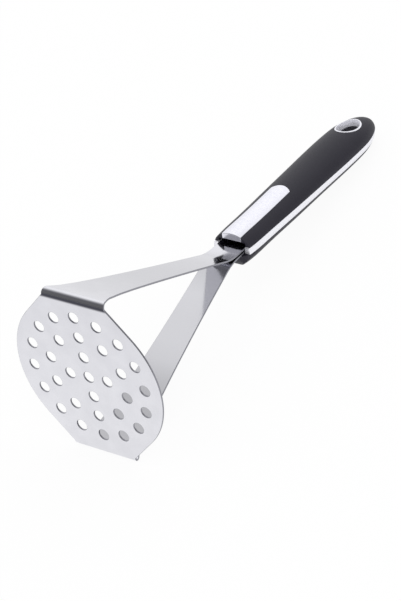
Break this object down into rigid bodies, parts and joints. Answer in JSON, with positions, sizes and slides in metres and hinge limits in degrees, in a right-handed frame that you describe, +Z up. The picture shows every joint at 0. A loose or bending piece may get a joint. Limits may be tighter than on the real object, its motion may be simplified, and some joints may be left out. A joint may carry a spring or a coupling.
{
  "type": "potato masher",
  "caption": "Hand masher with a round perforated steel plate on two folded sheet arms, and a two-shell black grip with a bright inlay, silver side band and oval hanging hole.",
  "frame": {"origin": "centre of the bounding box on the table, under the middle of the masher as it lies on its lower bend and the underside of the grip", "axes": "+X along the two bends of the plate, +Y from the plate towards the hanging hole along the table, +Z up, away from the table"},
  "size_m": [0.092, 0.2738, 0.0966],
  "materials": {
    "polished_sheet": "polished stamped stainless sheet",
    "nylon_spacer": "moulded nylon",
    "silver_plastic": "moulded, metallic silver paint",
    "soft_touch_black": "moulded, satin soft-touch coat",
    "bright_panel": "pressed bright sheet, satin polished",
    "plated_screw": "zinc plated",
    "chromed_eyelet": "bright chrome"
  },
  "bodies": {
    "root": {"masher_head": "polished_sheet", "tang_spacer": "nylon_spacer", "handle_frame": "silver_plastic", "top_shell": "soft_touch_black", "bottom_shell": "soft_touch_black", "top_inlay": "bright_panel", "clamp_screws": "plated_screw", "eyelet_top": "chromed_eyelet", "eyelet_bottom": "nylon_spacer"}
  },
  "joints": []
}
